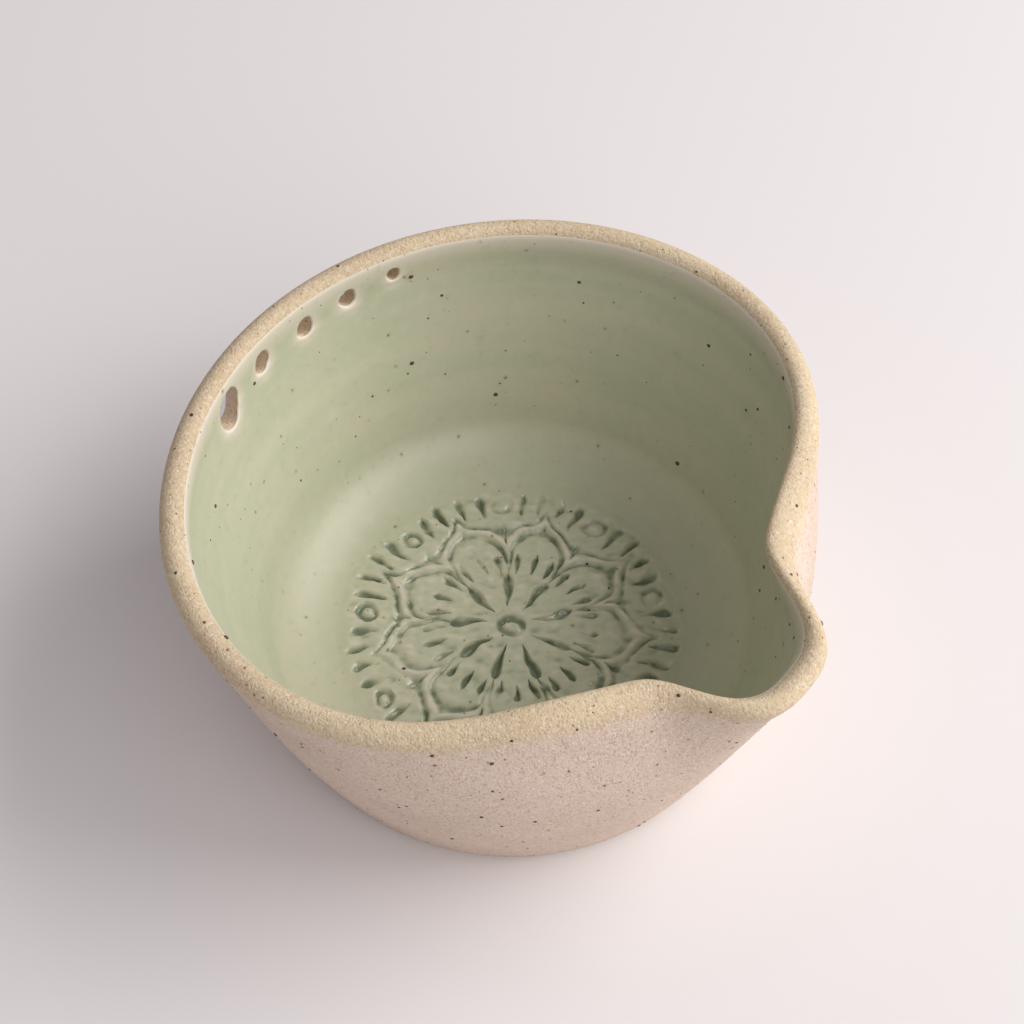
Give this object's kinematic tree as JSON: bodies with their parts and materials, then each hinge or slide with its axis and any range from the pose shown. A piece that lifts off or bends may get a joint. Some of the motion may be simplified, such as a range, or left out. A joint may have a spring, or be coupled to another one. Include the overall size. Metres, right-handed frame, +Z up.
{
  "type": "grinding bowl",
  "caption": "Small hand-thrown stoneware grinding bowl, a mortar with a pouring spout, graded herb-stripping holes through the wall and a stamped floor that grates.",
  "frame": {"origin": "middle of the flat foot, on the table", "axes": "+Z up out of the bowl, +X towards the pouring spout, +Y to the left of the spout seen from inside"},
  "size_m": [0.1351, 0.134, 0.0624],
  "materials": {
    "stoneware": "unglazed sandy stoneware, matte, with dark iron specks",
    "celadon_glaze": "thin glossy pale green glaze with iron specks, darker where it pools"
  },
  "bodies": {
    "root": {"clay_body": "stoneware", "glaze_lining": "celadon_glaze"}
  },
  "joints": []
}
